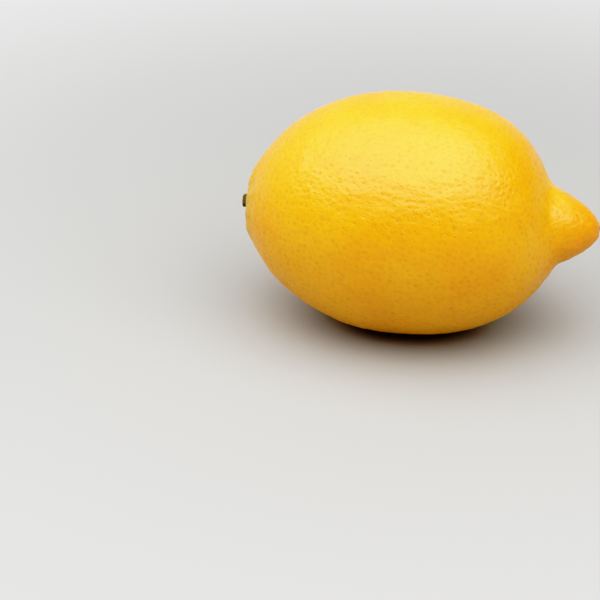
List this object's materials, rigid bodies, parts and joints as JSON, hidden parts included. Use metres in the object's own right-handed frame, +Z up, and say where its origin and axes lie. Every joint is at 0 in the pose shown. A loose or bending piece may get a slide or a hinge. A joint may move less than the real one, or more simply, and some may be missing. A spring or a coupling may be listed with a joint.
{
  "type": "lemon",
  "caption": "Whole lemon lying on its side, with a blunt nipple at one end and a dried calyx button at the other.",
  "frame": {"origin": "on the surface the fruit lies on, below the middle of its bounding box", "axes": "+Z up; +X along the fruit from the calyx at the stem end to the nipple at the other"},
  "size_m": [0.0886, 0.0604, 0.0592],
  "materials": {
    "rind": "semi-gloss waxy citrus rind, dimpled by oil glands 1.5 to 2 mm apart",
    "calyx": "matte, dried sepals and a clipped woody stalk"
  },
  "bodies": {
    "root": {"fruit": "rind", "calyx": "calyx"}
  },
  "joints": []
}
